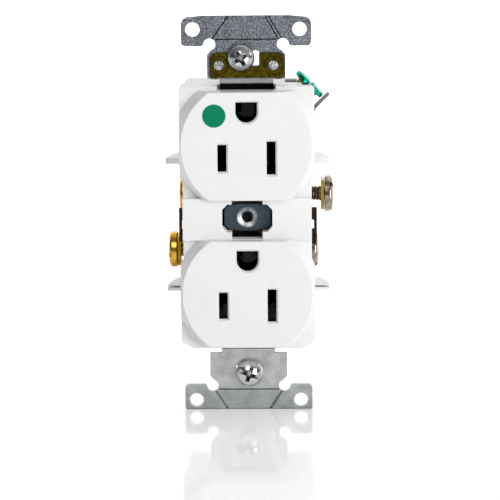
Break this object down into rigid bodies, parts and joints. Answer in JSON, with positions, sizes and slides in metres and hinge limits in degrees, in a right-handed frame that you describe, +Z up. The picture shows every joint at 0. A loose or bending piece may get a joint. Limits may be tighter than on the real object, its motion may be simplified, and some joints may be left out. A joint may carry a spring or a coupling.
{
  "type": "duplex receptacle",
  "caption": "Duplex wall receptacle on a plated steel mounting strap, with flat-blade and ground openings, side terminal screws with wire clamps, and a green ground screw.",
  "frame": {"origin": "midway between the two mounting slots, on the rear plane of the mounting strap", "axes": "+Z up along the strap, the plug faces look along -Y, +X to the viewer's right"},
  "size_m": [0.0444, 0.0272, 0.1043],
  "materials": {
    "white_plastic": "satin",
    "green_dot": "satin",
    "zinc_steel": "satin",
    "zinc_screw": "polished",
    "olive_brass": "satin",
    "brass": "polished",
    "nickel": "polished",
    "green_screw": "gloss",
    "fibre": "matte"
  },
  "bodies": {
    "device": {"face_cover": "white_plastic", "base": "white_plastic", "mounting_strap": "zinc_steel", "grade_dot": "green_dot", "ground_clip_plate": "olive_brass", "ground_clip_spring": "olive_brass", "clip_rivets": "zinc_screw", "ground_contact_strip": "brass", "contact_rivets": "zinc_screw", "ground_terminal": "zinc_steel", "case_screws": "zinc_screw", "hot_contact_strip": "brass", "neutral_contact_strip": "brass"},
    "clamp_hot_upper": {"clamp_plate_hot_upper": "olive_brass"},
    "screw_hot_upper": {"terminal_screw_hot_upper": "brass"},
    "clamp_hot_lower": {"clamp_plate_hot_lower": "olive_brass"},
    "screw_hot_lower": {"terminal_screw_hot_lower": "brass"},
    "clamp_neutral_upper": {"clamp_plate_neutral_upper": "olive_brass"},
    "screw_neutral_upper": {"terminal_screw_neutral_upper": "nickel"},
    "clamp_neutral_lower": {"clamp_plate_neutral_lower": "olive_brass"},
    "screw_neutral_lower": {"terminal_screw_neutral_lower": "nickel"},
    "clamp_ground": {"ground_clamp_plate": "olive_brass"},
    "screw_ground": {"ground_screw": "green_screw"},
    "retainer_top": {"screw_retainer_top": "fibre"},
    "mounting_screw_top": {"mounting_screw_top": "zinc_screw"},
    "retainer_bottom": {"screw_retainer_bottom": "fibre"},
    "mounting_screw_bottom": {"mounting_screw_bottom": "zinc_screw"}
  },
  "joints": [
    {"name": "clamp_slide_hot_upper", "type": "slide", "parent": "device", "child": "clamp_hot_upper", "axis": [-1, 0, 0], "range_m": [0, 0.00556]},
    {"name": "screw_turn_hot_upper", "type": "hinge", "parent": "clamp_hot_upper", "child": "screw_hot_upper", "pos_m": [-0.016, 0.01, 0.00443], "axis": [-1, 0, 0], "range_deg": [0, 2520.5]},
    {"name": "clamp_slide_hot_lower", "type": "slide", "parent": "device", "child": "clamp_hot_lower", "axis": [-1, 0, 0], "range_m": [-0.00298, 0.00258]},
    {"name": "screw_turn_hot_lower", "type": "hinge", "parent": "clamp_hot_lower", "child": "screw_hot_lower", "pos_m": [-0.016, 0.01, -0.01047], "axis": [-1, 0, 0], "range_deg": [-1350.5, 1170.5]},
    {"name": "clamp_slide_neutral_upper", "type": "slide", "parent": "device", "child": "clamp_neutral_upper", "axis": [1, 0, 0], "range_m": [-0.00437, 0.00119]},
    {"name": "screw_turn_neutral_upper", "type": "hinge", "parent": "clamp_neutral_upper", "child": "screw_neutral_upper", "pos_m": [0.016, 0.01, 0.00443], "axis": [1, 0, 0], "range_deg": [-1980.5, 540.5]},
    {"name": "clamp_slide_neutral_lower", "type": "slide", "parent": "device", "child": "clamp_neutral_lower", "axis": [1, 0, 0], "range_m": [-0.0004, 0.00516]},
    {"name": "screw_turn_neutral_lower", "type": "hinge", "parent": "clamp_neutral_lower", "child": "screw_neutral_lower", "pos_m": [0.016, 0.01, -0.01047], "axis": [1, 0, 0], "range_deg": [-180.5, 2340.5]},
    {"name": "clamp_slide_ground", "type": "slide", "parent": "device", "child": "clamp_ground", "axis": [0.7071, 0, 0.7071], "range_m": [-0.00159, 0.00317]},
    {"name": "screw_turn_ground", "type": "hinge", "parent": "clamp_ground", "child": "screw_ground", "pos_m": [0.01541, 0.01, 0.03267], "axis": [0.7071, 0, 0.7071], "range_deg": [-720.5, 1440.5]},
    {"name": "mounting_screw_float_top", "type": "slide", "parent": "device", "child": "retainer_top", "axis": [0, -1, 0], "range_m": [-0.0001, 0.0012]},
    {"name": "mounting_screw_turn_top", "type": "hinge", "parent": "retainer_top", "child": "mounting_screw_top", "pos_m": [-0.00137, 0.003, 0.04187], "axis": [0, -1, 0], "continuous": true},
    {"name": "mounting_screw_float_bottom", "type": "slide", "parent": "device", "child": "retainer_bottom", "axis": [0, -1, 0], "range_m": [-0.0008, 0.0012]},
    {"name": "mounting_screw_turn_bottom", "type": "hinge", "parent": "retainer_bottom", "child": "mounting_screw_bottom", "pos_m": [0.00025, 0.003, -0.04157], "axis": [0, -1, 0], "continuous": true}
  ],
  "couplings": [
    {"joint": "screw_turn_hot_upper", "follows": "clamp_slide_hot_upper", "rad_per_m": 7915.8},
    {"joint": "screw_turn_hot_lower", "follows": "clamp_slide_hot_lower", "rad_per_m": 7915.8},
    {"joint": "screw_turn_neutral_upper", "follows": "clamp_slide_neutral_upper", "rad_per_m": 7915.8},
    {"joint": "screw_turn_neutral_lower", "follows": "clamp_slide_neutral_lower", "rad_per_m": 7915.8},
    {"joint": "screw_turn_ground", "follows": "clamp_slide_ground", "rad_per_m": 7915.8}
  ]
}
